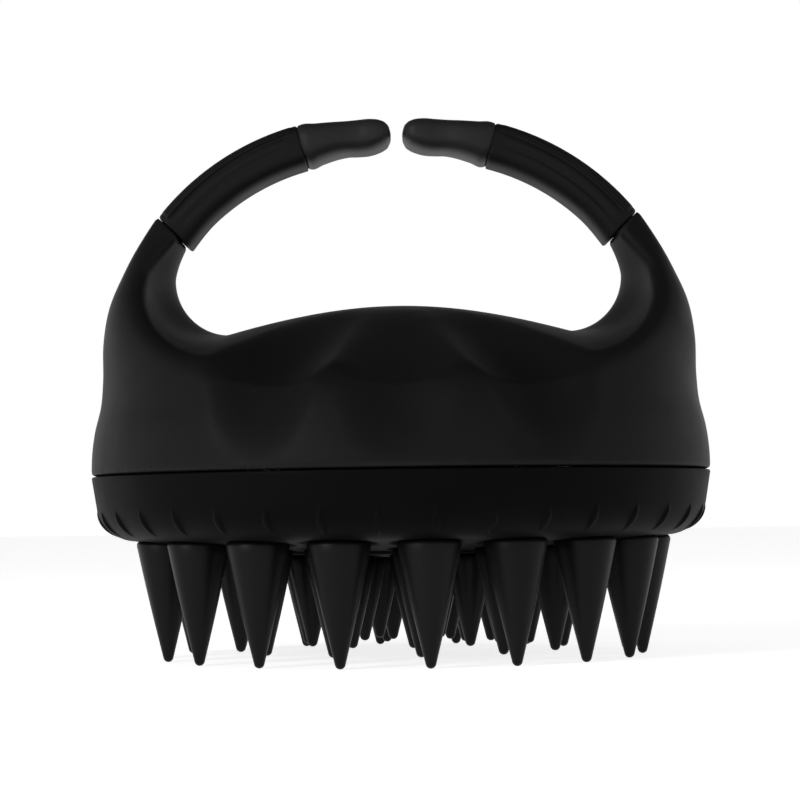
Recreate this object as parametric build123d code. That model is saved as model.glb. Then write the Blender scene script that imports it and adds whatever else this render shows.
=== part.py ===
from build123d import *
import math
import os

os.makedirs("parts", exist_ok=True)

# Scalp massager brush. X runs across the two arms, -Y is the front, +Z is up.
# The origin is on the centre line, level with the tips of the outer ring of teeth.
# All sizes are in millimetres.

# ---- round base ----
BASE_R = 48.0            # outer radius at the seam between shell and pad
SEAM_Z = 28.35           # height of the flat seam
SEAM_GAP = 0.15          # parting line under the shell
FIT_GAP = 0.15           # general clearance between pieces that nest
CUT_OVER = 1.0           # how far a cutting solid runs past the face that it opens

# ---- bristle pad ----
PAD_TURN = 6.0           # how far the pad, its teeth and screws are turned from the shell's front
PAD_WALL_FOOT_R = 47.2   # radius where the side wall meets the rounded corner
PAD_WALL_FOOT_Z = 23.2
PAD_CORNER_MID_R = 45.6
PAD_CORNER_MID_Z = 20.2
PAD_CORNER_END_R = 41.5
PAD_CORNER_END_Z = 18.3
PAD_CENTRE_Z = 15.3      # lowest point of the domed underside
PAD_DISC_R = 20.3        # raised disc that carries the two inner rings
PAD_DISC_STEP = 0.5
PAD_FLOOR_Z = 21.0       # inside of the pad's skin
PAD_LIP_R = 41.0         # inner radius of the lip that hooks over the carrier
RIB_COUNT = 36
RIB_WIDTH = 1.2
RIB_HEIGHT = 0.5
RIB_SINK = 0.5           # depth of the rib's two ends inside the pad

# ---- teeth, from the rim inwards ----
# count, ring radius, tip height, direction of the first tooth on the pad in degrees
TOOTH_RINGS = (
    (18, 37.1, 0.0, -90.0),
    (12, 25.25, 0.98, -90.0),
    (10, 15.2, 1.85, -90.0),
    (4, 6.95, 2.55, -64.0),
)
TOOTH_TIP_R = 0.77
TOOTH_SLOPE = 0.2275     # growth of the radius per millimetre of height
TOOTH_SHOULDER = 0.7     # rounding where the tooth meets the pad
TOOTH_POCKET_GAP = 0.2
TOOTH_SEAT_GAP = 0.05    # height of the gap above a tooth's shoulder
STEM_R = 2.0
STEM_BARB_R = 2.45
STEM_BARB_H = 1.0
STEM_BARB_DRAFT = 0.3    # how much slimmer than the stem the barb ends
STEM_GAP = 0.12

# ---- carrier plate and its screws ----
CARRIER_R = 43.2
CARRIER_Z = 21.15
CARRIER_T = 2.8
SCREW_RING_R = 30.6
SCREW_COUNT = 4
SCREW_FIRST = 45.0       # direction of the first screw on the pad in degrees
SCREW_R = 1.5
SCREW_LENGTH = 12.0
SCREW_HEAD_R = 2.7
SCREW_HEAD_H = 1.5
SCREW_RECESS_R = 0.9     # driver recess in the head
SCREW_RECESS_H = 0.75

# ---- shell ----
# height, half width, half depth and squareness of each level of the outer skin
SHELL_LEVELS = (
    (28.35, 48.0, 48.0, 2.0),
    (31.5, 47.9, 47.8, 2.0),
    (35.0, 47.4, 47.0, 2.05),
    (39.0, 46.4, 45.6, 2.1),
    (43.0, 46.0, 43.2, 2.2),
    (48.5, 45.8, 37.5, 2.5),
    (54.0, 44.8, 28.5, 3.0),
    (59.0, 42.8, 18.5, 3.8),
    (64.0, 40.3, 11.0, 5.0),
    (69.0, 37.1, 7.8, 6.0),
    (73.0, 34.0, 7.4, 6.0),
)
LEVEL_POINTS = 32
# height, half width and half depth of each level of the hollow inside
CAVITY_LEVELS = (
    (27.0, 45.3, 45.3),
    (33.0, 44.3, 43.6),
    (38.0, 41.5, 38.0),
    (43.0, 36.0, 27.0),
    (47.0, 28.0, 13.0),
)
BOSS_R = 4.2
BOSS_TOP_Z = 44.0
BOSS_HOLE_GAP = 0.02     # clearance of the screw in its boss

# ---- hand opening ----
HUMP_Z = 54.5            # top of the palm rest, on the centre line
CREASE_Z = 42.3          # front edge of the palm rest
CREASE_Y = 43.5
SADDLE_POWER = 1.6       # how late the palm rest starts to fall towards the front
CORNER_X = 26.2          # centre of the opening's lower corners
CORNER_Z = 58.9
CORNER_R = 8.7
CORNER_GROW = 8.3        # growth of the corner radius out to the crease
CORNER_SPREAD = 2.4      # further sideways shift of the corners off the centre plane
CORNER_SPREAD_Y = 8.0
OPENING_TOP_X = 30.6
OPENING_TOP_Z = 68.0
OPENING_CEILING_Z = 80.0
OPENING_STATIONS = (-50.0, -43.5, -32.0, -21.0, -12.0, -6.0, 0.0, 6.0, 12.0, 21.0, 32.0, 43.5, 50.0)

# ---- finger scoops ----
SCOOP_TURNS = (-25.5, 0.0, 25.5)
# depth and height of three points down the middle of a scoop
SCOOP_TOP = (19.0, 51.3)
SCOOP_EDGE = (41.3, 40.3)
SCOOP_FOOT = (47.6, 31.3)
SCOOP_TOP_R = 12.0       # radius of the stretch over the palm rest
SCOOP_WALL_R = 10.0      # radius of the stretch down the wall
SCOOP_REACH = 40.0       # half length of a scoop's cutting cylinder before its start point

# ---- arms: round bars about a centre near the middle of the object ----
ARM_CENTRE_X = 5.2
ARM_CENTRE_Z = 43.1
ARM_IN_R = 34.4
ARM_OUT_R = 40.95
ARM_DEPTH = 14.0
ARM_CORNER = 2.8
ROOT_ANGLE = 38.4        # root seam, in degrees above +X
CAP_ANGLE = 75.0         # seam between sleeve and cap
END_ANGLE = 96.4         # rounded end of the cap
ROOT_GAP_ANGLE = 0.62
SEAM_OVER_ANGLE = 1.0    # how far a cutting bar runs past a seam of the arm
CAP_GAP_ANGLE = 0.12
CAP_PROUD = 0.3          # how far the cap stands out of the sleeve
CAP_NECK_R = 35.6        # inner radius of the slimmer end of the cap
CAP_ROUND = 1.9
CAP_NECK_SHARE = 0.55    # where along the cap it reaches its slimmer section
CAP_NECK_GROW = 0.4      # how much deeper the neck is on the inside than the end
CAP_END_SINK = 0.15      # how far the end lies inside the arm's outer radius
CAP_DEPTH_STEP = 0.6     # loss of depth from one section of the cap to the next
SPINE_T = 2.4
SPINE_DEPTH = 8.0
SPINE_CORNER = 0.8
SPINE_TONGUE_ANGLE = 4.4
SPINE_END_ANGLE = 86.0
SPINE_GAP = 0.12
SOCKET_OUT_GAP = 0.35    # room for the tongue to swing in the horn
SOCKET_IN_GAP = 0.95
SOCKET_SIDE_GAP = 0.3
SOCKET_ANGLE = 6.2
HORN_CUT_DEPTH = 60.0    # block that ends a horn at its root seam
HORN_CUT_INSIDE = 6.0
HORN_CUT_OUTSIDE = 20.0
HORN_CUT_ANGLE = 40.0


def save(part, name):
    """Write one piece and print its volume."""
    part.label = name
    export_step(part, f"parts/{name}.step")
    print(name, round(part.volume, 1))


def upright(radius, height):
    """Cylinder that stands on the XY plane."""
    return Cylinder(radius, height, align=(Align.CENTER, Align.CENTER, Align.MIN))


def underside_z(radius):
    """Height of the pad's underside at a distance from the centre line."""
    disc_bow = (PAD_CORNER_END_Z - PAD_CENTRE_Z) / PAD_CORNER_END_R ** 2
    if radius <= PAD_DISC_R:
        return PAD_CENTRE_Z + disc_bow * radius ** 2
    step_z = underside_z(PAD_DISC_R) + PAD_DISC_STEP
    bow = (PAD_CORNER_END_Z - step_z) / (PAD_CORNER_END_R ** 2 - PAD_DISC_R ** 2)
    return step_z + bow * (radius ** 2 - PAD_DISC_R ** 2)


def tooth_root_radius(tip_z, seat_z):
    """Radius of the tooth's cone where it meets the pad."""
    lean = math.atan(TOOTH_SLOPE)
    return TOOTH_TIP_R / math.cos(lean) + (seat_z - tip_z - TOOTH_TIP_R) * TOOTH_SLOPE


def tooth_seat(ring_r, tip_z):
    """Seat height and root radius of a tooth, found by a few steps."""
    seat_z = underside_z(ring_r)
    for _ in range(4):
        root_r = tooth_root_radius(tip_z, seat_z)
        seat_z = underside_z(ring_r + root_r)
    return seat_z, tooth_root_radius(tip_z, seat_z)


def tooth_places():
    """Name, centre, tip height, seat height and root radius of every tooth."""
    places = []
    for ring, (count, ring_r, tip_z, first) in enumerate(TOOTH_RINGS, start=1):
        seat_z, root_r = tooth_seat(ring_r, tip_z)
        for index in range(count):
            turn = math.radians(PAD_TURN + first + 360.0 * index / count)
            x = ring_r * math.cos(turn)
            y = ring_r * math.sin(turn)
            places.append((f"tooth_ring{ring}_{index + 1:02d}", x, y, tip_z, seat_z, root_r))
    return places


def tooth(x, y, tip_z, seat_z, root_r):
    """Pointed tooth with a round tip, a rounded shoulder and a barbed stem."""
    lean = math.atan(TOOTH_SLOPE)
    ball_z = tip_z + TOOTH_TIP_R
    touch = (TOOTH_TIP_R * math.cos(lean), ball_z - TOOTH_TIP_R * math.sin(lean))
    half = (math.pi / 2 - lean) / 2
    middle = (TOOTH_TIP_R * math.sin(half), ball_z - TOOTH_TIP_R * math.cos(half))
    barb_z = CARRIER_Z + CARRIER_T + STEM_GAP
    flank_z = seat_z - TOOTH_SHOULDER
    flank_r = root_r - TOOTH_SHOULDER * TOOTH_SLOPE
    neck_r = root_r - TOOTH_SHOULDER
    outline = ThreePointArc((0, tip_z), middle, touch)
    outline += Line(touch, (flank_r, flank_z))
    bulge = TOOTH_SHOULDER * (1 - math.sqrt(0.5))
    outline += ThreePointArc((flank_r, flank_z), (root_r - bulge, seat_z - bulge), (neck_r, seat_z))
    outline += Polyline(
        (neck_r, seat_z),
        (STEM_R, seat_z),
        (STEM_R, barb_z),
        (STEM_BARB_R, barb_z),
        (STEM_R - STEM_BARB_DRAFT, barb_z + STEM_BARB_H),
        (0, barb_z + STEM_BARB_H),
        (0, tip_z),
    )
    face = make_face(Plane.XZ * outline)
    return Pos(x, y, 0) * revolve(face, Axis.Z)


def pad_rib():
    """One thin upright rib along the pad's lower corner, with its ends sunk in the pad."""
    foot = (PAD_WALL_FOOT_R - RIB_SINK, PAD_WALL_FOOT_Z)
    end = (PAD_CORNER_END_R, PAD_CORNER_END_Z + RIB_SINK)
    reach = RIB_HEIGHT * math.sqrt(0.5)
    proud = (PAD_CORNER_MID_R + reach, PAD_CORNER_MID_Z - reach)
    outline = ThreePointArc(foot, proud, end)
    outline += Line(end, foot)
    face = make_face(Plane.XZ * outline)
    return extrude(face, RIB_WIDTH / 2, both=True)


def bristle_pad():
    """Soft cup with a domed underside, a hooked lip and a pocket for every tooth."""
    foot = (PAD_WALL_FOOT_R, PAD_WALL_FOOT_Z)
    middle = (PAD_CORNER_MID_R, PAD_CORNER_MID_Z)
    end = (PAD_CORNER_END_R, PAD_CORNER_END_Z)
    disc_mid_r = PAD_DISC_R / 2
    disc_end = (PAD_DISC_R, underside_z(PAD_DISC_R))
    step_end = (PAD_DISC_R, underside_z(PAD_DISC_R) + PAD_DISC_STEP)
    under_mid_r = (PAD_DISC_R + PAD_CORNER_END_R) / 2
    lip_z = CARRIER_Z + CARRIER_T + FIT_GAP
    outline = ThreePointArc((0, PAD_CENTRE_Z), (disc_mid_r, underside_z(disc_mid_r)), disc_end)
    outline += Line(disc_end, step_end)
    outline += ThreePointArc(step_end, (under_mid_r, underside_z(under_mid_r)), end)
    outline += ThreePointArc(end, middle, foot)
    outline += Polyline(
        foot,
        (BASE_R, SEAM_Z - SEAM_GAP),
        (PAD_LIP_R, SEAM_Z - SEAM_GAP),
        (PAD_LIP_R, lip_z),
        (CARRIER_R + FIT_GAP, lip_z),
        (CARRIER_R + FIT_GAP, PAD_FLOOR_Z),
        (0, PAD_FLOOR_Z),
        (0, PAD_CENTRE_Z),
    )
    pad = revolve(make_face(Plane.XZ * outline), Axis.Z)
    pad += [Rot(0, 0, PAD_TURN + 360.0 * index / RIB_COUNT) * pad_rib() for index in range(RIB_COUNT)]
    cuts = []
    for _, x, y, _, seat_z, root_r in tooth_places():
        cuts.append(Pos(x, y, 0) * upright(root_r + TOOTH_POCKET_GAP, seat_z + TOOTH_SEAT_GAP))
        cuts.append(Pos(x, y, 0) * upright(STEM_R + STEM_GAP, PAD_FLOOR_Z + CUT_OVER))
    return pad - cuts


def screw_places():
    """Centres of the screws, between the teeth."""
    first = PAD_TURN + SCREW_FIRST
    turns = [math.radians(first + 360.0 * index / SCREW_COUNT) for index in range(SCREW_COUNT)]
    return [(SCREW_RING_R * math.cos(turn), SCREW_RING_R * math.sin(turn)) for turn in turns]


def pad_carrier():
    """Stiff plate inside the pad, with stem holes and countersunk screw seats."""
    plate = Pos(0, 0, CARRIER_Z) * upright(CARRIER_R, CARRIER_T)
    cut_foot = CARRIER_Z - CUT_OVER
    cut_h = CARRIER_T + 2 * CUT_OVER
    cuts = []
    for _, x, y, _, _, _ in tooth_places():
        cuts.append(Pos(x, y, cut_foot) * upright(STEM_R + STEM_GAP, cut_h))
    for x, y in screw_places():
        cuts.append(Pos(x, y, cut_foot) * upright(SCREW_R + FIT_GAP, cut_h))
        cuts.append(Pos(x, y, CARRIER_Z) * upright(SCREW_HEAD_R + FIT_GAP, SCREW_HEAD_H + FIT_GAP))
    return plate - cuts


def carrier_screws():
    """Four round-head screws that pull the carrier up against the shell's bosses."""
    head_z = CARRIER_Z + FIT_GAP / 2
    solids = []
    for x, y in screw_places():
        head = upright(SCREW_HEAD_R, SCREW_HEAD_H)
        shank = upright(SCREW_R, SCREW_LENGTH)
        recess = upright(SCREW_RECESS_R, SCREW_RECESS_H)
        solids.append(Pos(x, y, head_z) * (head + shank - recess))
    return Compound(children=solids)


def level_wire(z, half_x, half_y, power):
    """Closed outline of the shell at one height, round below and squarer above."""
    points = []
    for index in range(LEVEL_POINTS):
        turn = 2 * math.pi * index / LEVEL_POINTS
        across = math.cos(turn)
        along = math.sin(turn)
        x = math.copysign(abs(across) ** (2 / power), across) * half_x
        y = math.copysign(abs(along) ** (2 / power), along) * half_y
        points.append((x, y, z))
    return make_face(Spline(*points, periodic=True))


def shell_skin():
    """Full outer form of the shell, before the openings are cut."""
    return loft([level_wire(*level) for level in SHELL_LEVELS])


def opening_face(y):
    """Outline of the hand opening, wider and lower away from the centre plane."""
    grow = (abs(y) / CREASE_Y) ** SADDLE_POWER
    corner_r = CORNER_R + CORNER_GROW * grow
    corner_x = CORNER_X + CORNER_SPREAD * (1 - math.exp(-((y / CORNER_SPREAD_Y) ** 2)))
    floor_z = CORNER_Z - corner_r
    hump_z = HUMP_Z - (HUMP_Z - CREASE_Z) * grow
    lean = math.atan(2 * max(hump_z - floor_z, 0.0) / corner_x)
    join = (corner_x - corner_r * math.sin(lean), CORNER_Z - corner_r * math.cos(lean))
    low = math.radians(45.0)
    low_mid = (corner_x + corner_r * math.sin(low), CORNER_Z - corner_r * math.cos(low))
    side = (corner_x + corner_r, CORNER_Z)
    top_x = OPENING_TOP_X + CORNER_GROW * grow
    right = ThreePointArc(join, low_mid, side)
    right += Line(side, (top_x, OPENING_TOP_Z))
    right += Line((top_x, OPENING_TOP_Z), (top_x, OPENING_CEILING_Z))
    left = mirror(right, about=Plane.YZ)
    hump = ThreePointArc((-join[0], join[1]), (0, hump_z), join)
    ceiling = Line((-top_x, OPENING_CEILING_Z), (top_x, OPENING_CEILING_Z))
    outline = Wire([*hump.edges(), *right.edges(), *left.edges(), *ceiling.edges()])
    return Plane.XZ.offset(-y) * Face(outline)


def hand_opening():
    """Solid that is cut from the shell to leave the palm rest and the two horns."""
    return loft([opening_face(y) for y in OPENING_STATIONS])


def scoop_groove(upper, lower, radius, side):
    """Round groove whose deepest line runs through two points of the centre plane."""
    run = Vector(0, side * (lower[0] - upper[0]), lower[1] - upper[1]).normalized()
    outward = Vector(0, side * abs(run.Z), abs(run.Y))
    start = Vector(0, side * upper[0], upper[1]) - run * SCOOP_REACH + outward * radius
    return Solid.make_cylinder(radius, 3 * SCOOP_REACH, Plane(origin=start, z_dir=run))


def finger_scoop(turn, side):
    """Hollow for a finger, over the edge and down the wall. side is -1 at the front."""
    over = scoop_groove(SCOOP_TOP, SCOOP_EDGE, SCOOP_TOP_R, side)
    down = scoop_groove(SCOOP_EDGE, SCOOP_FOOT, SCOOP_WALL_R, side)
    return [Rot(0, 0, turn) * over, Rot(0, 0, turn) * down]


def arm_section(inner_r, outer_r, depth, corner, angle):
    """Rounded cross-section of the right arm, at an angle about the arm's centre."""
    plane = Plane(
        origin=(ARM_CENTRE_X, 0, ARM_CENTRE_Z),
        x_dir=(math.cos(math.radians(angle)), 0, math.sin(math.radians(angle))),
        z_dir=(-math.sin(math.radians(angle)), 0, math.cos(math.radians(angle))),
    )
    middle = (inner_r + outer_r) / 2
    return plane * Pos(middle, 0) * RectangleRounded(outer_r - inner_r, depth, corner)


def arm_bar(inner_r, outer_r, depth, corner, start, end):
    """Curved bar of constant section between two angles of the right arm."""
    section = arm_section(inner_r, outer_r, depth, corner, start)
    axis = Axis((ARM_CENTRE_X, 0, ARM_CENTRE_Z), (0, -1, 0))
    return revolve(section, axis, end - start)


def horn_top_cut():
    """Block that ends the right horn at the root seam."""
    inner_r = ARM_IN_R - HORN_CUT_INSIDE
    outer_r = ARM_OUT_R + HORN_CUT_OUTSIDE
    end = ROOT_ANGLE + HORN_CUT_ANGLE
    return arm_bar(inner_r, outer_r, HORN_CUT_DEPTH, ARM_CORNER, ROOT_ANGLE, end)


def spine_radii():
    """Inner and outer radius of the spine, in the middle of the arm."""
    middle = (ARM_IN_R + ARM_OUT_R) / 2
    return middle - SPINE_T / 2, middle + SPINE_T / 2


def spine_socket():
    """Pocket in the right horn, with room for the tongue to swing."""
    inner_r, outer_r = spine_radii()
    inner_r -= SOCKET_IN_GAP
    outer_r += SOCKET_OUT_GAP
    depth = SPINE_DEPTH + 2 * SOCKET_SIDE_GAP
    end = ROOT_ANGLE + SEAM_OVER_ANGLE
    return arm_bar(inner_r, outer_r, depth, SPINE_CORNER, ROOT_ANGLE - SOCKET_ANGLE, end)


def body_shell():
    """Moulded shell: palm rest, two horns, finger scoops and four screw bosses."""
    shell = shell_skin() - hand_opening()
    for turn in SCOOP_TURNS:
        shell -= finger_scoop(turn, -1)
        shell -= finger_scoop(turn, 1)
    top_cut = horn_top_cut()
    shell -= [top_cut, mirror(top_cut, about=Plane.YZ)]
    levels = [Pos(0, 0, z) * Ellipse(half_x, half_y) for z, half_x, half_y in CAVITY_LEVELS]
    cavity = loft([level.face() for level in levels])
    boss_foot = CARRIER_Z + CARRIER_T + FIT_GAP
    for x, y in screw_places():
        cavity -= Pos(x, y, CARRIER_Z) * upright(BOSS_R, BOSS_TOP_Z)
    shell -= cavity
    for x, y in screw_places():
        boss = Pos(x, y, boss_foot) * upright(BOSS_R, BOSS_TOP_Z - boss_foot)
        hole = Pos(x, y, boss_foot) * upright(SCREW_R + BOSS_HOLE_GAP, SCREW_LENGTH)
        shell = shell + boss - hole
    socket = spine_socket()
    return shell - [socket, mirror(socket, about=Plane.YZ)]


def arm_spine():
    """Springy core of the right arm, from its tongue in the horn into the cap."""
    inner_r, outer_r = spine_radii()
    start = ROOT_ANGLE - SPINE_TONGUE_ANGLE
    return arm_bar(inner_r, outer_r, SPINE_DEPTH, SPINE_CORNER, start, SPINE_END_ANGLE)


def spine_channel(start, end):
    """Room for the spine inside the sleeve and the cap."""
    inner_r, outer_r = spine_radii()
    depth = SPINE_DEPTH + 2 * SPINE_GAP
    return arm_bar(inner_r - SPINE_GAP, outer_r + SPINE_GAP, depth, SPINE_CORNER, start, end)


def grip_sleeve():
    """Soft tube over the spine of the right arm."""
    start = ROOT_ANGLE + ROOT_GAP_ANGLE
    tube = arm_bar(ARM_IN_R, ARM_OUT_R, ARM_DEPTH, ARM_CORNER, start, CAP_ANGLE)
    return tube - spine_channel(start - SEAM_OVER_ANGLE, CAP_ANGLE + SEAM_OVER_ANGLE)


def tip_cap():
    """Hard cap of the right arm, slimmer and rounded towards its end."""
    start = CAP_ANGLE + CAP_GAP_ANGLE
    neck = start + CAP_NECK_SHARE * (END_ANGLE - start)
    outer_r = ARM_OUT_R + CAP_PROUD
    depth = ARM_DEPTH + 2 * CAP_PROUD
    neck_depth = depth - CAP_DEPTH_STEP
    end_outer_r = ARM_OUT_R - CAP_END_SINK
    corner = CAP_ROUND + CAP_NECK_GROW
    sections = [
        arm_section(ARM_IN_R - CAP_PROUD, outer_r, depth, ARM_CORNER, start),
        arm_section(CAP_NECK_R - CAP_NECK_GROW, end_outer_r, neck_depth, corner, neck),
        arm_section(CAP_NECK_R, end_outer_r, neck_depth - CAP_DEPTH_STEP, corner, END_ANGLE),
    ]
    cap = loft([section.face() for section in sections])
    end_face = cap.faces().sort_by(Axis.X)[0]
    cap = fillet(end_face.edges(), CAP_ROUND)
    return cap - spine_channel(start - SEAM_OVER_ANGLE, SPINE_END_ANGLE + SEAM_OVER_ANGLE)


def both_sides(right_piece, name):
    """Write the right piece and its mirror image."""
    save(right_piece, f"right_{name}")
    save(mirror(right_piece, about=Plane.YZ), f"left_{name}")


save(body_shell(), "body_shell")
save(bristle_pad(), "bristle_pad")
save(pad_carrier(), "pad_carrier")
save(carrier_screws(), "carrier_screws")
for tooth_name, *place in tooth_places():
    save(tooth(*place), tooth_name)
both_sides(arm_spine(), "arm_spine")
both_sides(grip_sleeve(), "grip_sleeve")
both_sides(tip_cap(), "tip_cap")
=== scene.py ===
import math

import bpy
import numpy as np
from mathutils import Matrix, Vector


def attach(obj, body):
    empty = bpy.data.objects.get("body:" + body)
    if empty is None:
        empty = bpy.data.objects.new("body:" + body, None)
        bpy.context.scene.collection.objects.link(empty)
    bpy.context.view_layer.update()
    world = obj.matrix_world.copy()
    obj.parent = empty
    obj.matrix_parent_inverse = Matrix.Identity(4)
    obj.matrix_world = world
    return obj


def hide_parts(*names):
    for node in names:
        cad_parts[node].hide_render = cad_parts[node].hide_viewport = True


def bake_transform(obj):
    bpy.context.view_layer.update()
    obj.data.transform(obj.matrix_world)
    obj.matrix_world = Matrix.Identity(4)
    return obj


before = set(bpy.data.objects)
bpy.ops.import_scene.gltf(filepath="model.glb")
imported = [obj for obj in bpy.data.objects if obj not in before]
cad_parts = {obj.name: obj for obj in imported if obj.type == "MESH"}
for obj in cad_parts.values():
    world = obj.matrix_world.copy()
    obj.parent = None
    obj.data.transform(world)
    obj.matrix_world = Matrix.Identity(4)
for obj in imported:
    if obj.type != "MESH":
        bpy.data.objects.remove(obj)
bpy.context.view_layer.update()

# Scalp massager brush. Shapes are worked out in millimetres in the CAD frame and written
# to Blender in metres. X runs across the arms, -Y is the front, +Z is up.

MM = 0.001
TINY = 1e-6              # radius below which a point counts as on the axis
SEAM_Z = 28.35           # flat seam between the shell and the pad
TEETH = (
    # count, ring radius, tip height, direction of the first tooth
    (18, 37.1, 0.0, -84.0),
    (12, 25.25, 0.98, -84.0),
    (10, 15.2, 1.85, -84.0),
    (4, 6.95, 2.55, -58.0),
)

# Each arm follows an arc, with angles in degrees up from level.
ARM_CENTRE = (5.2, 43.1) # distance from the middle and height of the arc's centre
ARM_IN_R = 34.4
ARM_OUT_R = 40.95
ARM_MID_R = (ARM_IN_R + ARM_OUT_R) / 2
ARM_DEPTH = 14.0
ROOT_ANGLE = 38.4        # outer corner of the seam between horn and sleeve
SEAM_TILT = 8.0          # how much more that seam leans than the arc's radius
CAP_ANGLE = 75.0         # seam between sleeve and cap
END_ANGLE = 96.4         # round end of the cap


# ---------------------------------------------------------------- mesh helpers
def add_object(name, points, faces, material):
    """New mesh object from points in millimetres."""
    mesh = bpy.data.meshes.new(name)
    mesh.from_pydata([tuple(p) for p in np.asarray(points) * MM], [], faces)
    mesh.validate()
    mesh.shade_smooth()
    mesh.materials.append(material)
    obj = bpy.data.objects.new(name, mesh)
    bpy.context.scene.collection.objects.link(obj)
    return obj


def even_turns(count):
    """Evenly spaced angles of one full turn."""
    return np.arange(count) * 2 * math.pi / count


def tube_faces(rings, columns, side):
    """Faces of a tube of rings with closed ends, on the left arm (side -1) or the right (1)."""
    faces = []
    for ring in range(rings - 1):
        for column in range(columns):
            after = (column + 1) % columns
            a = ring * columns + column
            b = ring * columns + after
            faces.append((a, b, b + columns, a + columns))
    last = (rings - 1) * columns
    faces.append(tuple(range(columns))[::-1])
    faces.append(tuple(range(last, last + columns)))
    if side > 0:
        faces = [face[::-1] for face in faces]
    return faces


def lathe(profile, columns):
    """Points and faces of a profile of (radius, height) turned about Z.

    A row on the axis becomes a single point.
    """
    turns = even_turns(columns)
    points = []
    rings = []
    for radius, height in profile:
        start = len(points)
        if radius < TINY:
            points.append((0.0, 0.0, height))
            rings.append([start] * columns)
        else:
            points += [(radius * math.cos(t), radius * math.sin(t), height) for t in turns]
            rings.append(list(range(start, start + columns)))
    faces = []
    for lower, upper in zip(rings, rings[1:]):
        for column in range(columns):
            after = (column + 1) % columns
            face = []
            for index in (lower[column], lower[after], upper[after], upper[column]):
                if index not in face:
                    face.append(index)
            faces.append(tuple(face))
    return np.array(points), faces


def smoothstep(low, high, value):
    """0 at low, 1 at high and smooth between, whichever of the two is larger."""
    t = np.clip((value - low) / (high - low), 0, 1)
    return t * t * (3 - 2 * t)


def arc_points(centre, radius, start, end, count):
    """Points of an arc, with angles in degrees."""
    turns = np.radians(np.linspace(start, end, count))
    return [(centre[0] + radius * math.cos(t), centre[1] + radius * math.sin(t)) for t in turns]


# ---------------------------------------------------------------- smooth solids from fields
LEVELS = np.array((
    # height, half width, half depth and squareness of the shell's outer form
    (28.35, 48.0, 48.0, 2.0),
    (31.5, 47.9, 47.8, 2.0),
    (35.0, 47.4, 47.0, 2.05),
    (39.0, 46.4, 45.6, 2.1),
    (43.0, 46.0, 43.2, 2.2),
    (48.5, 45.8, 37.5, 2.5),
    (54.0, 44.8, 28.5, 3.0),
    (59.0, 42.8, 18.5, 3.8),
    (64.0, 40.3, 11.0, 5.0),
    (69.0, 37.1, 7.8, 6.0),
    (73.0, 34.0, 7.4, 6.0),
))
CAVITY = np.array((
    # height, half width and half depth of the hollow inside
    (27.0, 45.3, 45.3),
    (33.0, 44.3, 43.6),
    (38.0, 41.5, 38.0),
    (43.0, 36.0, 27.0),
    (47.0, 28.0, 13.0),
))
HUMP_Z = 54.5            # height of the shell's top in the very middle
CREASE_Z = 42.3          # and at its front and back, at the depth below
CREASE_Y = 43.5
SADDLE_POWER = 1.6
# round lower corners of the hand opening: centre and radius in the middle of the depth
CORNER_X = 26.2
CORNER_Z = 58.9
CORNER_R = 8.7
CORNER_GROW = 8.3        # how much larger the radius is at the front and back
CORNER_SPREAD = 2.4      # how much further out the centre moves with depth
CORNER_SPREAD_Y = 8.0
OPENING_TOP_X = 30.9     # half width of the opening at the height below
OPENING_TOP_Z = 68.0
SIDE_POWER = 1.5         # curve of the opening's side above its round corner
SIDE_EVEN = 0.93         # brings the slope of the opening's side nearer to 1
SCOOP_TURNS = (-25.5, 0.0, 25.5)
# depth and height of three points down the middle of a finger scoop
SCOOP_TOP = (19.0, 51.3)
SCOOP_EDGE = (41.3, 40.3)
SCOOP_FOOT = (47.6, 31.3)
SCOOP_TOP_R = 12.0
SCOOP_WALL_R = 10.0
HORN_LOW_Z = 58.0        # the root seam cuts nothing below this height
FAR_OUTSIDE = 50.0       # stand-in distances where a cut does not reach
FAR_INSIDE = -10.0
# widths over which the shell's edges are rounded
OPENING_ROUND = 2.4
SCOOP_ROUND = 2.2
ROOT_SEAM_ROUND = 0.5
PAD_SEAM_ROUND = 0.8
CAVITY_ROUND = 0.6
SLOPE_STEP = 0.05        # step for measuring the slope of a field
LEAST_SLOPE = 0.25       # smallest slope that a field is divided by


def smooth_table(table, z):
    """Values of a table at places z in its first column, on smooth curves between its rows."""
    heights = table[:, 0]
    slopes = np.gradient(table[:, 1:], heights, axis=0)
    z = np.clip(z, heights[0], heights[-1])
    row = np.clip(np.searchsorted(heights, z) - 1, 0, len(heights) - 2)
    span = heights[row + 1] - heights[row]
    t = (z - heights[row]) / span
    h00 = (1 + 2 * t) * (1 - t) ** 2
    h10 = t * (1 - t) ** 2
    h01 = t * t * (3 - 2 * t)
    h11 = t * t * (t - 1)
    values = []
    for column in range(1, table.shape[1]):
        start = table[row, column]
        end = table[row + 1, column]
        rise = h10 * span * slopes[row, column - 1] + h11 * span * slopes[row + 1, column - 1]
        values.append(h00 * start + h01 * end + rise)
    return values


def soft_max(a, b, width):
    """Larger of two distances, rounded over a width."""
    near = np.maximum(width - np.abs(a - b), 0.0) / width
    return np.maximum(a, b) + near * near * width / 4


def level_field(x, y, z):
    """Field of the shell's outer form, from its table of levels."""
    half_x, half_y, power = smooth_table(LEVELS, z)
    reach = (np.abs(x / half_x) ** power + np.abs(y / half_y) ** power) ** (1 / power)
    return (reach - 1) * half_y


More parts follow.
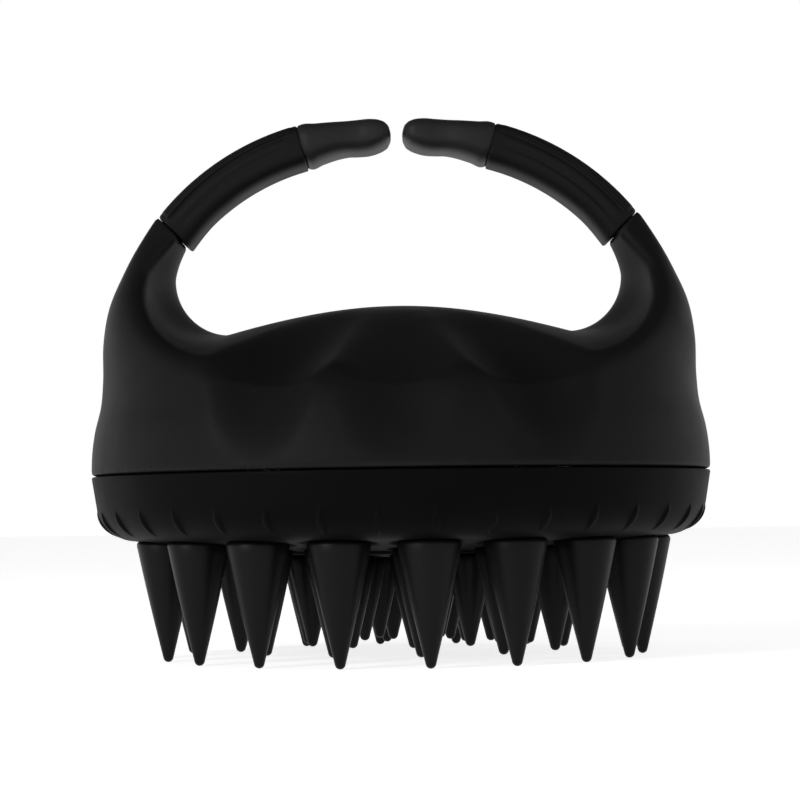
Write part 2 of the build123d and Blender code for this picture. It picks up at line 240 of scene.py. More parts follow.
def opening_field(x, y, z):
    """Distance from the outline of the hand opening, negative inside it."""
    grow = (np.abs(y) / CREASE_Y) ** SADDLE_POWER
    corner_r = CORNER_R + CORNER_GROW * grow
    corner_x = CORNER_X + CORNER_SPREAD * (1 - np.exp(-(y / CORNER_SPREAD_Y) ** 2))
    floor_z = CORNER_Z - corner_r
    hump_z = HUMP_Z - (HUMP_Z - CREASE_Z) * grow
    lean = np.arctan(2 * np.maximum(hump_z - floor_z, 0.0) / corner_x)
    join_x = corner_x - corner_r * np.sin(lean)
    join_z = CORNER_Z - corner_r * np.cos(lean)
    across = np.abs(x)
    saddle = join_z + (hump_z - join_z) * (1 - (across / join_x) ** 2)
    over_hump = (saddle - z) * np.cos(lean * np.clip(across / join_x, 0, 1))
    round_corner = np.hypot(across - corner_x, z - CORNER_Z) - corner_r
    top_x = OPENING_TOP_X + CORNER_GROW * grow
    rise = OPENING_TOP_Z - CORNER_Z
    pull = corner_x + corner_r - top_x
    side_x = corner_x + corner_r - pull * np.clip((z - CORNER_Z) / rise, 0, 2) ** SIDE_POWER
    side = (across - side_x) * SIDE_EVEN
    low = np.where(across < join_x, over_hump, round_corner)
    return np.where(z < CORNER_Z, low, side)


def cavity_field(x, y, z):
    """Field of the hollow inside the shell, flat on top."""
    half_x, half_y = smooth_table(CAVITY, z)
    reach = (np.hypot(x / half_x, y / half_y) - 1) * half_y
    return np.maximum(reach, z - CAVITY[-1, 0])


def groove_field(across, out, z, upper, lower, radius):
    """Distance from a round groove whose deepest line runs through two points."""
    run = np.array((lower[0] - upper[0], lower[1] - upper[1]))
    run /= np.hypot(*run)
    depth = (out - upper[0]) * -run[1] + (z - upper[1]) * run[0]
    return np.hypot(across, depth - radius) - radius


def scoop_field(x, y, z, turn, side):
    """Distance from one finger scoop, over the edge and down the wall."""
    angle = math.radians(turn)
    across = x * math.cos(angle) + y * math.sin(angle)
    out = side * (-x * math.sin(angle) + y * math.cos(angle))
    over = groove_field(across, out, z, SCOOP_TOP, SCOOP_EDGE, SCOOP_TOP_R)
    down = groove_field(across, out, z, SCOOP_EDGE, SCOOP_FOOT, SCOOP_WALL_R)
    scoop = np.minimum(over, down)
    return np.where(out > 0, scoop, FAR_OUTSIDE)


def seam_field(x, y, z):
    """Distance above the tilted root seam, for the two horns only."""
    root = math.radians(ROOT_ANGLE)
    lean = math.radians(ROOT_ANGLE + SEAM_TILT)
    across = np.abs(x) - ARM_CENTRE[0] - ARM_OUT_R * math.cos(root)
    up = z - ARM_CENTRE[1] - ARM_OUT_R * math.sin(root)
    above = up * math.cos(lean) - across * math.sin(lean)
    return np.where(z > HORN_LOW_Z, above, FAR_INSIDE)


def true_distance(field, x, y, z):
    """Field divided by its own slope, so that it reads as a distance."""
    here = field(x, y, z)
    slope_x = field(x + SLOPE_STEP, y, z) - here
    slope_y = field(x, y + SLOPE_STEP, z) - here
    slope_z = field(x, y, z + SLOPE_STEP) - here
    slope = np.sqrt(slope_x ** 2 + slope_y ** 2 + slope_z ** 2) / SLOPE_STEP
    return here / np.maximum(slope, LEAST_SLOPE)


def shell_field(x, y, z):
    """Signed distance of the moulded shell, with its edges rounded."""
    skin = true_distance(level_field, x, y, z)
    skin = soft_max(skin, -true_distance(opening_field, x, y, z), OPENING_ROUND)
    for side in (-1, 1):
        for turn in SCOOP_TURNS:
            skin = soft_max(skin, -scoop_field(x, y, z, turn, side), SCOOP_ROUND)
    skin = soft_max(skin, seam_field(x, y, z), ROOT_SEAM_ROUND)
    skin = soft_max(skin, SEAM_Z - z, PAD_SEAM_ROUND)
    return soft_max(skin, -true_distance(cavity_field, x, y, z), CAVITY_ROUND)


CELL_CORNERS = 8


def surface_net(field, low, high, step):
    """Closed quad mesh of the zero surface of a field."""
    axes = [np.arange(a, b + step, step) for a, b in zip(low, high)]
    x, y, z = np.meshgrid(*axes, indexing="ij")
    values = field(x, y, z)
    shape = np.array(values.shape)
    inside = values < 0
    count = np.zeros(shape - 1, int)
    for dx in (0, 1):
        for dy in (0, 1):
            for dz in (0, 1):
                count += inside[dx:shape[0] - 1 + dx, dy:shape[1] - 1 + dy, dz:shape[2] - 1 + dz]
    cells = np.argwhere((count > 0) & (count < CELL_CORNERS))
    total = np.zeros((len(cells), 3))
    hits = np.zeros(len(cells))
    for axis in range(3):
        others = [other for other in range(3) if other != axis]
        for first in (0, 1):
            for second in (0, 1):
                start = cells.copy()
                start[:, others[0]] += first
                start[:, others[1]] += second
                end = start.copy()
                end[:, axis] += 1
                a = values[tuple(start.T)]
                b = values[tuple(end.T)]
                crossed = (a < 0) != (b < 0)
                share = np.where(crossed, a / np.where(crossed, a - b, 1.0), 0.0)
                place = start.astype(float)
                place[:, axis] += share
                total[crossed] += place[crossed]
                hits += crossed
    points = np.array(low) + step * total / hits[:, None]
    number = np.full(shape - 1, -1)
    number[tuple(cells.T)] = np.arange(len(cells))
    faces = []
    for axis in range(3):
        others = [(axis + 1) % 3, (axis + 2) % 3]
        head = [slice(None)] * 3
        tail = [slice(None)] * 3
        head[axis] = slice(0, -1)
        tail[axis] = slice(1, None)
        crossing = inside[tuple(head)] != inside[tuple(tail)]
        edges = np.argwhere(crossing)
        keep = (edges[:, others[0]] > 0) & (edges[:, others[1]] > 0)
        edges = edges[keep]
        corners = []
        for back in ((1, 1), (0, 1), (0, 0), (1, 0)):
            cell = edges.copy()
            cell[:, others[0]] -= back[0]
            cell[:, others[1]] -= back[1]
            corners.append(number[tuple(cell.T)])
        quads = np.stack(corners, axis=1)
        flip = ~inside[tuple(edges.T)]
        quads[flip] = quads[flip][:, ::-1]
        faces.append(quads)
    return points, np.concatenate(faces)


SETTLE_ROUNDS = 4
SETTLE_PULLS = 2         # moves onto the surface after each evening out
SETTLE_STEP = 0.04       # step for measuring the slope of the field
SETTLE_LEAST_SLOPE = 0.3 # squared
SETTLE_LONGEST = 0.3     # longest move, as a multiple of the slope


def settle(field, points, faces):
    """Even out the mesh and set every point on the field's zero surface."""
    pairs = np.concatenate([faces[:, [i, (i + 1) % 4]] for i in range(4)])
    for _ in range(SETTLE_ROUNDS):
        total = np.zeros_like(points)
        hits = np.zeros(len(points))
        for a, b in ((0, 1), (1, 0)):
            np.add.at(total, pairs[:, a], points[pairs[:, b]])
            np.add.at(hits, pairs[:, a], 1)
        points = points * 0.5 + 0.5 * total / hits[:, None]
        for _ in range(SETTLE_PULLS):
            x, y, z = points.T
            here = field(x, y, z)
            slope = np.stack((
                field(x + SETTLE_STEP, y, z) - here,
                field(x, y + SETTLE_STEP, z) - here,
                field(x, y, z + SETTLE_STEP) - here,
            ), axis=1) / SETTLE_STEP
            size = np.maximum((slope ** 2).sum(axis=1), SETTLE_LEAST_SLOPE)
            move = slope * np.clip(here / size, -SETTLE_LONGEST, SETTLE_LONGEST)[:, None]
            points = points - move
    return points


# ---------------------------------------------------------------- materials
# sockets of a Mix node set to colour
MIX_SHARE = 0
MIX_FIRST = 6
MIX_SECOND = 7
MIX_RESULT = 2
# noise scales, in cells per metre
DRIFT_SCALE = 45.0
SMUDGE_SCALE = 70.0
WAVE_SCALE = 220.0
NOISE_ROUGHNESS = 0.55
SPREAD_ENDS = (0.3, 0.7) # noise values at the two ends of a spread
SMUDGE = 0.05            # how much roughness varies either way
RAMP_ENDS = (0.32, 0.72) # noise values of the dark and the light colour
EDGE_HIGHLIGHT_ENDS = (0.53, 0.62)  # pointiness at which the painted edge highlight starts and is full
EDGE_HIGHLIGHT_GAIN = 1.9           # painted edge highlights are the light colour times this, plus the next
EDGE_HIGHLIGHT_LIFT = 0.004
GRAIN_STRENGTH = 0.35
WAVE_STRENGTH = 0.2
WAVE_HEIGHT = 0.0001


def new_material(name):
    """Empty node material: itself, its nodes, its links and its shader."""
    material = bpy.data.materials.new(name)
    material.use_nodes = True
    nodes = material.node_tree.nodes
    return material, nodes, material.node_tree.links, nodes["Principled BSDF"]


def mapped_noise(nodes, links, scale, detail, stretch=(1, 1, 1)):
    """Noise in object space, with scale in cells per metre."""
    coordinates = nodes.new("ShaderNodeTexCoord")
    mapping = nodes.new("ShaderNodeMapping")
    mapping.inputs["Scale"].default_value = stretch
    noise = nodes.new("ShaderNodeTexNoise")
    noise.inputs["Scale"].default_value = scale
    noise.inputs["Detail"].default_value = detail
    noise.inputs["Roughness"].default_value = NOISE_ROUGHNESS
    links.new(coordinates.outputs["Object"], mapping.inputs["Vector"])
    links.new(mapping.outputs["Vector"], noise.inputs["Vector"])
    return noise.outputs["Fac"]


def spread(nodes, links, source, low, high):
    """Noise value spread over a range."""
    spreader = nodes.new("ShaderNodeMapRange")
    spreader.inputs["From Min"].default_value = SPREAD_ENDS[0]
    spreader.inputs["From Max"].default_value = SPREAD_ENDS[1]
    spreader.inputs["To Min"].default_value = low
    spreader.inputs["To Max"].default_value = high
    links.new(source, spreader.inputs["Value"])
    return spreader.outputs["Result"]


def add_bump(nodes, links, height, strength, distance):
    """Bump node that takes its height from a noise output."""
    bump = nodes.new("ShaderNodeBump")
    bump.inputs["Strength"].default_value = strength
    bump.inputs["Distance"].default_value = distance
    links.new(height, bump.inputs["Height"])
    return bump


def moulded(name, dark, light, rough, grain, grain_height, specular, stretch=(1, 1, 1), edge_highlight=1.0):
    """Black moulding: faint colour drift, smudged gloss, fine grain and a painted highlight on convex
    edges.
    """
    material, nodes, links, shader = new_material(name)
    drift = mapped_noise(nodes, links, DRIFT_SCALE, detail=4.0, stretch=stretch)
    ramp = nodes.new("ShaderNodeValToRGB")
    for stop, place, colour in zip(ramp.color_ramp.elements, RAMP_ENDS, (dark, light)):
        stop.position = place
        stop.color = (*colour, 1)
    links.new(drift, ramp.inputs["Fac"])
    # painted highlight: sharp convex edges, found from pointiness, are painted lighter than the rest of
    # the surface
    geometry = nodes.new("ShaderNodeNewGeometry")
    edge = nodes.new("ShaderNodeMapRange")
    edge.inputs["From Min"].default_value = EDGE_HIGHLIGHT_ENDS[0]
    edge.inputs["From Max"].default_value = EDGE_HIGHLIGHT_ENDS[1]
    edge.inputs["To Max"].default_value = edge_highlight
    links.new(geometry.outputs["Pointiness"], edge.inputs["Value"])
    edge_highlight_mix = nodes.new("ShaderNodeMix")
    edge_highlight_mix.data_type = "RGBA"
    highlight_colour = tuple(min(value * EDGE_HIGHLIGHT_GAIN + EDGE_HIGHLIGHT_LIFT, 1.0) for value in light)
    edge_highlight_mix.inputs[MIX_SECOND].default_value = (*highlight_colour, 1)
    links.new(edge.outputs["Result"], edge_highlight_mix.inputs[MIX_SHARE])
    links.new(ramp.outputs["Color"], edge_highlight_mix.inputs[MIX_FIRST])
    links.new(edge_highlight_mix.outputs[MIX_RESULT], shader.inputs["Base Color"])
    smudges = mapped_noise(nodes, links, SMUDGE_SCALE, detail=5.0, stretch=stretch)
    gloss = spread(nodes, links, smudges, rough - SMUDGE, rough + SMUDGE)
    links.new(gloss, shader.inputs["Roughness"])
    shader.inputs["Specular IOR Level"].default_value = specular
    fine = mapped_noise(nodes, links, grain, detail=2.0)
    waves = mapped_noise(nodes, links, WAVE_SCALE, detail=3.0, stretch=stretch)
    bump = add_bump(nodes, links, fine, GRAIN_STRENGTH, grain_height)
    soft_bump = add_bump(nodes, links, waves, WAVE_STRENGTH, WAVE_HEIGHT)
    links.new(soft_bump.outputs["Normal"], bump.inputs["Normal"])
    links.new(bump.outputs["Normal"], shader.inputs["Normal"])
    return material


SHELL_BLACK = moulded(
    "shell_satin", dark=(0.0068, 0.0068, 0.0072), light=(0.0092, 0.0092, 0.0097),
    rough=0.48, grain=5200.0, grain_height=0.00002, specular=0.04,
)
PAD_BLACK = moulded(
    "pad_silicone", dark=(0.0013, 0.0013, 0.0015), light=(0.0021, 0.0021, 0.0023),
    rough=0.52, grain=4200.0, grain_height=0.00002, specular=0.03, edge_highlight=0.0,
)
TOOTH_BLACK = moulded(
    "tooth_silicone", dark=(0.0024, 0.0024, 0.0026), light=(0.0036, 0.0036, 0.0039),
    rough=0.40, grain=3800.0, grain_height=0.00002, specular=0.10, stretch=(1, 1, 0.25), edge_highlight=0.0,
)
SLEEVE_BLACK = moulded(
    "sleeve_grip", dark=(0.0075, 0.0075, 0.0079), light=(0.0105, 0.0105, 0.0110),
    rough=0.50, grain=4600.0, grain_height=0.00003, specular=0.04, edge_highlight=0.0,
)
CAP_BLACK = moulded(
    "cap_satin", dark=(0.016, 0.016, 0.0167), light=(0.022, 0.022, 0.0227),
    rough=0.42, grain=6000.0, grain_height=0.00001, specular=0.06,
)
INNER_BLACK = moulded(
    "inner_plastic", dark=(0.010, 0.010, 0.010), light=(0.016, 0.016, 0.016),
    rough=0.55, grain=3000.0, grain_height=0.00003, specular=0.30,
)


def screw_steel():
    """Zinc-plated steel with fine turning marks."""
    material, nodes, links, shader = new_material("screw_zinc")
    drift = mapped_noise(nodes, links, scale=900.0, detail=4.0)
    ramp = nodes.new("ShaderNodeValToRGB")
    ramp.color_ramp.elements[0].color = (0.42, 0.43, 0.44, 1)
    ramp.color_ramp.elements[1].color = (0.62, 0.62, 0.60, 1)
    links.new(drift, ramp.inputs["Fac"])
    links.new(ramp.outputs["Color"], shader.inputs["Base Color"])
    gloss = spread(nodes, links, drift, low=0.25, high=0.42)
    links.new(gloss, shader.inputs["Roughness"])
    shader.inputs["Metallic"].default_value = 1.0
    marks = mapped_noise(nodes, links, scale=2500.0, detail=2.0, stretch=(1, 1, 8))
    bump = add_bump(nodes, links, marks, strength=0.3, distance=0.00003)
    links.new(bump.outputs["Normal"], shader.inputs["Normal"])
    return material


def finish_cad_node(node, material):
    """Better material for a CAD node that keeps its own shape."""
    obj = bpy.data.objects[node]
    for slot in obj.material_slots:
        slot.material = material


# ---------------------------------------------------------------- shell
SHELL_STEP = 0.62    # side of one cell of the search
# corners of the box that is searched for the shell's surface
SHELL_LOW = (-49.3, -49.3, 27.0)
SHELL_HIGH = (49.3, 49.3, 71.5)


def build_shell():
    """Moulded shell with its horns and finger scoops, kept above the flat seam."""
    points, faces = surface_net(shell_field, SHELL_LOW, SHELL_HIGH, SHELL_STEP)
    points = settle(shell_field, points, faces)
    points[:, 2] = np.maximum(points[:, 2], SEAM_Z)
    obj = add_object("shell_body", points, [tuple(face) for face in faces], SHELL_BLACK)
    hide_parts("body_shell")
    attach(obj, "root")


# ---------------------------------------------------------------- teeth
TIP_R = 0.77
TOOTH_SLOPE = 0.2275     # growth of a tooth's radius per millimetre of height
SHOULDER = 0.75          # radius of the rounding at a tooth's root
SHOULDER_START = 10.0    # angle in degrees at which that rounding leaves the flank
BELLY = 0.10             # swell of the flank at half height
TOOTH_COLUMNS = 40
TIP_ROWS = 9
FLANK_ROWS = 14
SHOULDER_ROWS = 7
SEAT_ROUNDS = 4          # a seat's height and its root's radius depend on each other
STEM_R = 2.0
STEM_FLARE = 0.05        # how much wider the stem starts, and how fast it narrows
STEM_FLARE_Z = 0.1
# radius and height up the hidden stem: neck, barb and flat top
STEM = (
    (STEM_R, 24.07),
    (2.4, 24.1),
    (1.7, 25.07),
    (0.0, 25.07),
)
PAD_CENTRE_Z = 15.3      # lowest point of the pad's underside
PAD_CORNER_END = (41.5, 18.3)
PAD_DISC_R = 20.3        # shallow disc in the middle of the underside
PAD_DISC_STEP = 0.5


def underside_z(radius):
    """Height of the pad's bowed underside, which steps up outside its disc."""
    disc_bow = (PAD_CORNER_END[1] - PAD_CENTRE_Z) / PAD_CORNER_END[0] ** 2
    if radius <= PAD_DISC_R:
        return PAD_CENTRE_Z + disc_bow * radius ** 2
    step_z = PAD_CENTRE_Z + disc_bow * PAD_DISC_R ** 2 + PAD_DISC_STEP
    bow = (PAD_CORNER_END[1] - step_z) / (PAD_CORNER_END[0] ** 2 - PAD_DISC_R ** 2)
    return step_z + bow * (radius ** 2 - PAD_DISC_R ** 2)


def tooth_seat(ring_r, tip_z):
    """Seat height and root radius of a tooth."""
    seat_z = underside_z(ring_r)
    for _ in range(SEAT_ROUNDS):
        root_r = TIP_R / math.cos(math.atan(TOOTH_SLOPE)) + (seat_z - tip_z - TIP_R) * TOOTH_SLOPE
        seat_z = underside_z(ring_r + root_r)
    return seat_z, root_r


def tooth_profile(tip_z, seat_z, root_r):
    """Half outline from the tip to the hidden stem."""
    lean = math.degrees(math.atan(TOOTH_SLOPE))
    ball = (0.0, tip_z + TIP_R)
    profile = arc_points(ball, TIP_R, -90.0, -lean, TIP_ROWS)
    profile[0] = (0.0, tip_z)
    flank_z = seat_z - SHOULDER
    flank_r = root_r - SHOULDER * TOOTH_SLOPE
    foot_r, foot_z = profile[-1]
    for row in range(1, FLANK_ROWS + 1):
        share = row / FLANK_ROWS
        belly = BELLY * math.sin(math.pi * share)
        profile.append((foot_r + (flank_r - foot_r) * share + belly, foot_z + (flank_z - foot_z) * share))
    shoulder = (flank_r - SHOULDER, flank_z)
    profile += arc_points(shoulder, SHOULDER, SHOULDER_START, 90.0, SHOULDER_ROWS)[1:]
    profile += [(STEM_R + STEM_FLARE, seat_z), (STEM_R, seat_z + STEM_FLARE_Z)]
    profile += STEM
    return profile


def build_teeth():
    """Four rings of separate teeth, all upright."""
    for ring, (count, ring_r, tip_z, first) in enumerate(TEETH, start=1):
        seat_z, root_r = tooth_seat(ring_r, tip_z)
        points, faces = lathe(tooth_profile(tip_z, seat_z, root_r), TOOTH_COLUMNS)
        for index in range(count):
            turn = math.radians(first + 360.0 * index / count)
            shift = np.array((ring_r * math.cos(turn), ring_r * math.sin(turn), 0.0))
            name = f"tooth_ring{ring}_{index + 1:02d}"
            obj = add_object(f"point_{name}", points + shift, faces, TOOTH_BLACK)
            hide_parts(name)
            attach(obj, "root")


# ---------------------------------------------------------------- bristle pad
RIB_COUNT = 36
RIB_PITCH = 2 * math.pi / RIB_COUNT
PAD_TURN = math.radians(6.0)
RIB_TOP_Z = 23.1
RIB_LOW_Z = 18.9
RIB_HALF_WIDTH = 0.62
RIB_LEAST_HALF = 0.02
RIB_HEIGHT = 0.38
RIB_LEAF_POWER = 0.8
RIB_FLANK_IN = 0.32      # a rib's flank runs from this far inside its half width
RIB_FLANK_OUT = 0.1      # to this far outside it
# ribs stand outside the first radius above the turn height, and outside the second below it
RIB_WALL_R = 43.5
RIB_CORNER_R = 41.6
RIB_TURN_Z = 20.9
RIB_CEILING_Z = 24.0
# columns of the mesh across a rib, in millimetres at a radius, and how many lie between two ribs
RIB_OFFSETS = (-0.95, -0.75, -0.58, -0.42, -0.22, 0.0, 0.22, 0.42, 0.58, 0.75, 0.95)
RIB_OFFSET_R = 46.0
RIB_GAP_COLUMNS = 7
# radius and height of the hidden outline: ceiling, seat of the carrier and lip
PAD_INSIDE = (
    (0.0, 21.0),
    (20.0, 21.0),
    (43.35, 21.0),
    (43.35, 24.1),
    (41.05, 24.1),
    (41.0, 24.2),
    (41.0, 28.1),
    (41.1, 28.2),
    (44.0, 28.2),
    (47.6, 28.2),
)
PAD_RIM = (47.72, 27.95) # centre of the small rounding under the seam
PAD_RIM_R = 0.25
PAD_RIM_START = 75.0     # angle in degrees at which that rounding starts
PAD_WALL_TOP = (47.97, 27.9)
PAD_WALL_FIRST = 0.06    # share of the wall's height at which its first row lies
PAD_FOOT = (47.2, 23.2)
PAD_CORNER_MID = (45.6, 20.2)
PAD_DISC_EDGE = (
    # offset of a point from the disc's radius, offset at which its height is read, and its rise
    (0.12, 0.1, 0.0),
    (0.0, 0.0, 0.3),
    (-0.05, 0.0, 0.1),
)
# radial room left between the rows of the underside and the corner, the disc's edge and the centre
UNDER_ROOM = 0.35
DISC_ROOM = 0.25
PAD_RIM_ROWS = 5
PAD_WALL_ROWS = 6
PAD_CORNER_ROWS = 26
UNDER_ROWS = 50
DISC_ROWS = 44
# the seats of the teeth are pressed into the part below and inside these
UNDER_Z = 19.5
UNDER_R = 43.0
SEAT_LIFT = 0.04
SEAT_FLAT = 0.15         # width of the flat ring round a tooth's root
SEAT_END = 0.65          # width at which the pad is back at its own height


def circle_through(a, b, c):
    """Centre and radius of the circle through three points."""
    matrix = np.array([[b[0] - a[0], b[1] - a[1]], [c[0] - a[0], c[1] - a[1]]])
    right = np.array([(b[0] ** 2 - a[0] ** 2 + b[1] ** 2 - a[1] ** 2) / 2,
                      (c[0] ** 2 - a[0] ** 2 + c[1] ** 2 - a[1] ** 2) / 2])
    centre = np.linalg.solve(matrix, right)
    return centre, math.hypot(a[0] - centre[0], a[1] - centre[1])


def pad_profile():
    """Half outline from the lip, down the wall, round the corner and in to the centre."""
    top_r, top_z = PAD_WALL_TOP
    foot_r, foot_z = PAD_FOOT
    end_r, end_z = PAD_CORNER_END
    profile = list(PAD_INSIDE)
    profile += arc_points(PAD_RIM, PAD_RIM_R, PAD_RIM_START, 0.0, PAD_RIM_ROWS)
    wall = np.linspace(PAD_WALL_FIRST, 1.0, PAD_WALL_ROWS)
    profile += [(top_r + (foot_r - top_r) * t, top_z + (foot_z - top_z) * t) for t in wall]
    centre, radius = circle_through(PAD_FOOT, PAD_CORNER_MID, PAD_CORNER_END)
    start = math.degrees(math.atan2(foot_z - centre[1], foot_r - centre[0]))
    end = math.degrees(math.atan2(end_z - centre[1], end_r - centre[0]))
    profile += arc_points(centre, radius, start, end, PAD_CORNER_ROWS)[1:]
    under = np.linspace(end_r - UNDER_ROOM, PAD_DISC_R + UNDER_ROOM, UNDER_ROWS)
    profile += [(r, underside_z(r)) for r in under]
    for offset, read_at, rise in PAD_DISC_EDGE:
        profile.append((PAD_DISC_R + offset, underside_z(PAD_DISC_R + read_at) + rise))
    disc = np.linspace(PAD_DISC_R - DISC_ROOM, UNDER_ROOM, DISC_ROWS)
    profile += [(r, underside_z(r)) for r in disc]
    profile.append((0.0, PAD_CENTRE_Z))
    return profile


def pad_turns():
    """Angles of the pad's columns, closer together at the ribs."""
    local = [offset / RIB_OFFSET_R for offset in RIB_OFFSETS]
    between = np.linspace(local[-1], RIB_PITCH - local[-1], RIB_GAP_COLUMNS + 2)[1:-1]
    sector = np.concatenate((local, between))
    return np.concatenate([sector + PAD_TURN + index * RIB_PITCH for index in range(RIB_COUNT)])


def tooth_seats():
    """Centre, seat height and root radius of every tooth."""
    seats = []
    for count, ring_r, tip_z, first in TEETH:
        seat_z, root_r = tooth_seat(ring_r, tip_z)
        turns = np.radians(first + 360.0 * np.arange(count) / count)
        seats += [(ring_r * math.cos(t), ring_r * math.sin(t), seat_z, root_r) for t in turns]
    return seats


def build_pad():
    """Soft pad with leaf-shaped ribs round its corner and a seat for every tooth."""
    turns = pad_turns()
    columns = len(turns)
    points, faces = lathe(pad_profile(), columns)
    radius = np.hypot(points[:, 0], points[:, 1])
    height = points[:, 2]
    # the profile starts with one point on the axis, and the rest follow in full rings
    column = np.where(radius > TINY, (np.arange(len(points)) - 1) % columns, 0)
    turn = turns[column]
    from_rib = np.abs((turn - PAD_TURN + RIB_PITCH / 2) % RIB_PITCH - RIB_PITCH / 2) * radius
    run = np.clip((RIB_TOP_Z - height) / (RIB_TOP_Z - RIB_LOW_Z), 0, 1)
    leaf = np.sin(math.pi * run) ** RIB_LEAF_POWER
    half = np.maximum(RIB_HALF_WIDTH * leaf, RIB_LEAST_HALF)
    inner_r = np.where(height < RIB_TURN_Z, RIB_CORNER_R, RIB_WALL_R)
    outer = (height < RIB_CEILING_Z) & (radius > inner_r)
    flank = smoothstep(half - RIB_FLANK_IN, half + RIB_FLANK_OUT, from_rib)
    rise = RIB_HEIGHT * leaf * (1 - flank) * outer
    centre, _ = circle_through(PAD_FOOT, PAD_CORNER_MID, PAD_CORNER_END)
    out_r = radius - centre[0]
    out_z = height - centre[1]
    size = np.maximum(np.hypot(out_r, out_z), TINY)
    radius = radius + rise * np.maximum(out_r, 0) / size
    height = height + rise * out_z / size
    x = radius * np.cos(turn)
    y = radius * np.sin(turn)
    under = (height < UNDER_Z) & (radius < UNDER_R)
    for centre_x, centre_y, seat_z, root_r in tooth_seats():
        away = np.hypot(x - centre_x, y - centre_y)
        near = (1 - smoothstep(root_r + SEAT_FLAT, root_r + SEAT_END, away)) * under
        height = height + (seat_z + SEAT_LIFT - height) * near
    points = np.stack((x, y, height), axis=1)
    faces = [face[::-1] for face in faces]
    obj = add_object("pad_skin", points, faces, PAD_BLACK)
    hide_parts("bristle_pad")
    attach(obj, "root")


# ---------------------------------------------------------------- arms
def squared(turns, half_r, half_y, power):
    """Rounded-square outline: radial offset and depth offset."""
    c = np.cos(turns)
    s = np.sin(turns)
    return (np.sign(c) * np.abs(c) ** (2 / power) * half_r,
            np.sign(s) * np.abs(s) ** (2 / power) * half_y)


def arm_ring(radius, turn, depth, side):
    """Points of one section of an arm, from radii and angles about the arc's centre."""
    x = ARM_CENTRE[0] + radius * np.cos(turn)
    z = ARM_CENTRE[1] + radius * np.sin(turn)
    return list(zip(x * side, depth, z))


SLEEVE_START = ROOT_ANGLE + 0.15
SLEEVE_END = CAP_ANGLE + 0.35               # a little inside the cap's rim
SLEEVE_ROWS = 110
SLEEVE_COLUMNS = 168
SLEEVE_POWER = 3.6       # squareness of the section
SLEEVE_EXTRA = 0.02      # half the thickness by which the sleeve exceeds the arm's nominal one
SLEEVE_RECESS = 0.35     # how far the faces lie inside the arm's nominal depth
SLEEVE_FIRST = 0.55      # distance of the first full section from either end
SLEEVE_ENDS = (
    # how much smaller a section is than a full one, and its distance from the end
    (1.6, 0.0),
    (0.9, 0.0),
    (0.35, 0.0),
    (0.10, 0.10),
    (0.0, 0.30),
)
TILT_RUN = 9.0           # length over which the root seam's lean dies out
SWELL = 0.25             # how far the inner edge swells at the root seam
SWELL_RUN = 6.0
EDGE_FALL = 0.315        # how far the face falls away towards the outer edge
EDGE_SHARE = 0.30
FACE_START = 0.25        # shares of the half depth between which the relief grows to full
FACE_FULL = 0.8
RELIEF_ROOT = 0.75       # length left plain at the root seam and at the cap seam
RELIEF_CAP = 0.9
STRIP_ROOT = 0.29        # share of the arm's width taken by the raised strip at the root seam
STRIP_TOP = 0.225        # and at the cap seam
STRIP_FLANK = 0.30       # width of the strip's slope
STRIP_HEIGHT = 0.50
RELIEF_LINES = (
    # height, place past the strip's edge and width in shares of the arm's width, fade from, fade over
    (-0.24, 0.04, 0.035, 0.0, 2.0),
    (0.20, 0.19, 0.07, -1.0, 5.0),
    (-0.42, 0.31, 0.05, -1.0, 6.0),
)


def sleeve_relief(share, along, length):
    """How far the sleeve's face stands out, over its width and its length in millimetres."""
    ends = np.minimum(along - RELIEF_ROOT, length - RELIEF_CAP - along)
    edge = STRIP_ROOT + (STRIP_TOP - STRIP_ROOT) * along / length
    strip = smoothstep(0.0, STRIP_FLANK, (edge - share) * (ARM_OUT_R - ARM_IN_R))
    relief = STRIP_HEIGHT * strip * smoothstep(0.0, STRIP_FLANK, ends)
    for height, place, width, fade_from, fade_over in RELIEF_LINES:
        line = np.exp(-((share - edge - place) / width) ** 2)
        relief = relief + height * line * smoothstep(0.0, fade_over, ends - fade_from)
    return relief


def build_sleeve(side, name):
    """Soft sleeve with its raised strip, ridge and channel on both faces."""
    length = math.radians(SLEEVE_END - SLEEVE_START) * ARM_MID_R
    half_r = (ARM_OUT_R - ARM_IN_R) / 2 + SLEEVE_EXTRA
    half_y = ARM_DEPTH / 2 - SLEEVE_RECESS
    lean = 2 * half_r * math.tan(math.radians(SEAM_TILT))
    turns = even_turns(SLEEVE_COLUMNS)
    full = np.linspace(SLEEVE_FIRST, length - SLEEVE_FIRST, SLEEVE_ROWS)
    stations = [(distance, shrink) for shrink, distance in SLEEVE_ENDS]
    stations += [(distance, 0.0) for distance in full]
    stations += [(length - distance, shrink) for shrink, distance in reversed(SLEEVE_ENDS)]
    points = []
    for distance, shrink in stations:
        out, depth = squared(turns, half_r - shrink, half_y - shrink, SLEEVE_POWER)
        # 0 at the arm's outer edge and 1 at its inner edge
        share = (half_r - out) / (2 * half_r)
        tilt = lean * (1 - smoothstep(0.0, TILT_RUN, distance))
        turn = math.radians(SLEEVE_START) + (distance - tilt * share) / ARM_MID_R
        face = smoothstep(FACE_START, FACE_FULL, np.abs(depth) / half_y)
        lift = sleeve_relief(share, distance, length) * face
        fall = EDGE_FALL * smoothstep(EDGE_SHARE, 0.0, share) * face
        depth = depth + np.sign(depth) * (lift - fall)
        swell = SWELL * smoothstep(SWELL_RUN, 0.0, distance) * (share > 0.5)
        radius = ARM_MID_R + out - swell * (share - 0.5) * 2
        points += arm_ring(radius, turn, depth, side)
    faces = tube_faces(len(stations), SLEEVE_COLUMNS, side)
    obj = add_object(f"{name}_sleeve_skin", points, faces, SLEEVE_BLACK)
    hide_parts(f"{name}_grip_sleeve")
    blend_arm(obj)


def blend_arm(obj):
    """Bake a piece's placement into its mesh."""
    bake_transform(obj)


